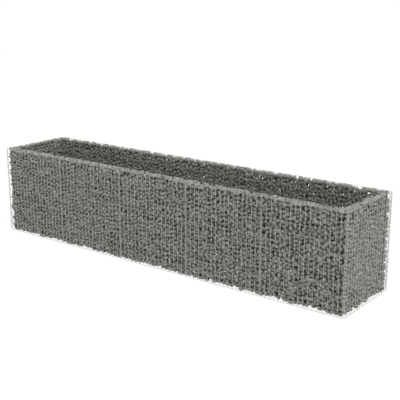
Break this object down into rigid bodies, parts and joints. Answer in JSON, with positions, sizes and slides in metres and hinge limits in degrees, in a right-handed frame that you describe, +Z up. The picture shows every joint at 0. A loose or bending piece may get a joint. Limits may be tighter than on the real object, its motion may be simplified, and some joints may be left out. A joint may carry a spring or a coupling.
{
  "type": "gabion raised bed",
  "caption": "Gabion raised bed: stone-filled walls of double welded mesh round an open planting space, panels laced with wire spirals at seams and corners.",
  "frame": {"origin": "middle of the footprint, on the ground", "axes": "+X along the bed from its left end to its right end, +Y from its front to its back, +Z up"},
  "size_m": [4.5194, 0.9276, 1],
  "materials": {
    "mesh_wire": "galvanised, dull light grey",
    "lacing_wire": "galvanised, a little brighter than the mesh",
    "stone_fill": "rough crushed grey stone"
  },
  "bodies": {
    "root": {"front_panel_1": "mesh_wire", "front_panel_2": "mesh_wire", "front_panel_3": "mesh_wire", "front_panel_4": "mesh_wire", "front_panel_5": "mesh_wire", "back_panel_1": "mesh_wire", "back_panel_2": "mesh_wire", "back_panel_3": "mesh_wire", "back_panel_4": "mesh_wire", "back_panel_5": "mesh_wire", "left_panel": "mesh_wire", "right_panel": "mesh_wire", "inner_front_panel_1": "mesh_wire", "inner_front_panel_2": "mesh_wire", "inner_front_panel_3": "mesh_wire", "inner_front_panel_4": "mesh_wire", "inner_front_panel_5": "mesh_wire", "inner_back_panel_1": "mesh_wire", "inner_back_panel_2": "mesh_wire", "inner_back_panel_3": "mesh_wire", "inner_back_panel_4": "mesh_wire", "inner_back_panel_5": "mesh_wire", "inner_left_panel": "mesh_wire", "inner_right_panel": "mesh_wire", "front_fill_1": "stone_fill", "front_fill_2": "stone_fill", "front_fill_3": "stone_fill", "front_fill_4": "stone_fill", "front_fill_5": "stone_fill", "back_fill_1": "stone_fill", "back_fill_2": "stone_fill", "back_fill_3": "stone_fill", "back_fill_4": "stone_fill", "back_fill_5": "stone_fill", "left_fill": "stone_fill", "right_fill": "stone_fill", "corner_spirals": "lacing_wire", "front_seam_spirals": "lacing_wire", "back_seam_spirals": "lacing_wire", "inner_corner_rings": "lacing_wire", "inner_front_rings": "lacing_wire", "inner_back_rings": "lacing_wire"}
  },
  "joints": []
}
